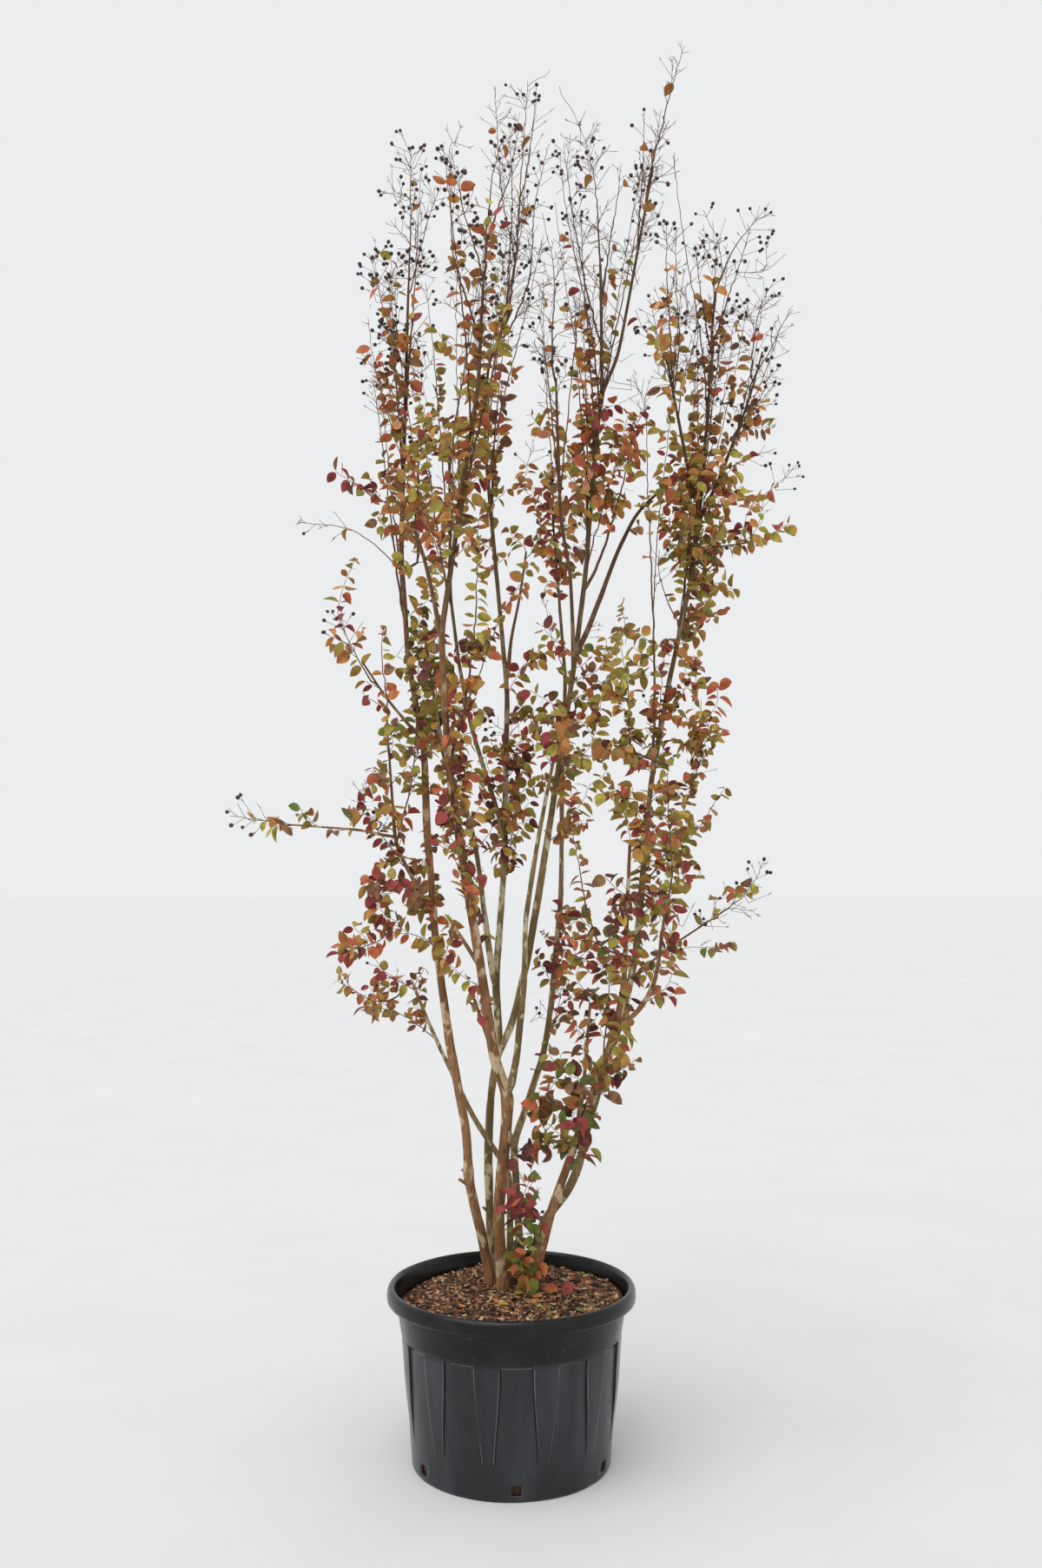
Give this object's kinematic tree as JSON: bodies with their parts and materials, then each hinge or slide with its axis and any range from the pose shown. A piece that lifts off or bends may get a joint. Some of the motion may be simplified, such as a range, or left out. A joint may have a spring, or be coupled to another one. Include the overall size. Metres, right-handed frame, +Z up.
{
  "type": "potted crape myrtle tree",
  "caption": "Multi-stem crape myrtle in autumn leaf, bare fanned stems under an open crown with upright seed heads, standing in a deep round black nursery pot of bark compost",
  "frame": {"origin": "middle of the flat underside of the pot", "axes": "+Z up along the height of the tree, -Y the side with the fullest view of the fan of stems, +X to the right seen from there"},
  "size_m": [1.7042, 1.015, 4.375],
  "materials": {
    "pot": "moulded charcoal black plastic with a dull sheen",
    "compost": "damp compost of chipped bark with a few fallen leaves",
    "bark": "smooth thin bark, brown with pale peeled patches low down",
    "foliage_orange": "thin matt leaves turned orange and red",
    "foliage_burgundy": "thin matt leaves turned dark red among dark green",
    "foliage_olive": "thin matt leaves turned olive yellow",
    "foliage_green": "thin matt leaves still green",
    "seed_heads": "dry brown twigs and woody seed capsules"
  },
  "bodies": {
    "root": {"pot": "pot", "compost": "compost", "stem_left": "bark", "stem_front": "bark", "stem_back": "bark", "stem_centre": "bark", "stem_back_left": "bark", "stem_right": "bark", "stem_outer_right": "bark", "bough_left": "bark", "bough_left_low": "bark", "bough_left_high": "bark", "bough_front_fork": "bark", "bough_front_right": "bark", "bough_back_left": "bark", "bough_back_right": "bark", "bough_middle_left": "bark", "bough_tall": "bark", "bough_tall_left": "bark", "bough_tall_outer": "bark", "bough_tall_right": "bark", "bough_right_inner": "bark", "bough_right_outer": "bark", "bough_right_low": "bark", "bough_outer_left": "bark", "bough_far_right": "bark", "shoots_at_foot": "foliage_orange", "shoots_low_right": "foliage_burgundy", "leaves_low_left": "foliage_orange", "leaves_inner_front": "foliage_burgundy", "leaves_inner_back": "foliage_burgundy", "leaves_right_front": "foliage_burgundy", "leaves_right_back": "foliage_burgundy", "twigs_right_low": "seed_heads", "leaves_left_middle": "foliage_orange", "leaves_centre_front": "foliage_orange", "leaves_centre_back": "foliage_orange", "twigs_far_left": "foliage_orange", "leaves_left_high": "foliage_orange", "leaves_right_middle": "foliage_orange", "leaves_front_tip": "foliage_orange", "twigs_left_high": "seed_heads", "leaves_green_left": "foliage_green", "leaves_middle_right": "foliage_olive", "leaves_left_upper": "foliage_orange", "leaves_upper_front": "foliage_olive", "leaves_upper_back": "foliage_olive", "leaves_back_left": "foliage_olive", "leaves_back_tip": "foliage_olive", "leaves_middle_upper": "foliage_orange", "leaves_right_upper": "foliage_orange", "seeds_left": "seed_heads", "seeds_front": "seed_heads", "seeds_back": "seed_heads", "seeds_middle": "seed_heads", "seeds_inner_left": "seed_heads", "seeds_tall": "seed_heads", "seeds_inner_right": "seed_heads", "seeds_right": "seed_heads", "seeds_far_right": "seed_heads"}
  },
  "joints": []
}
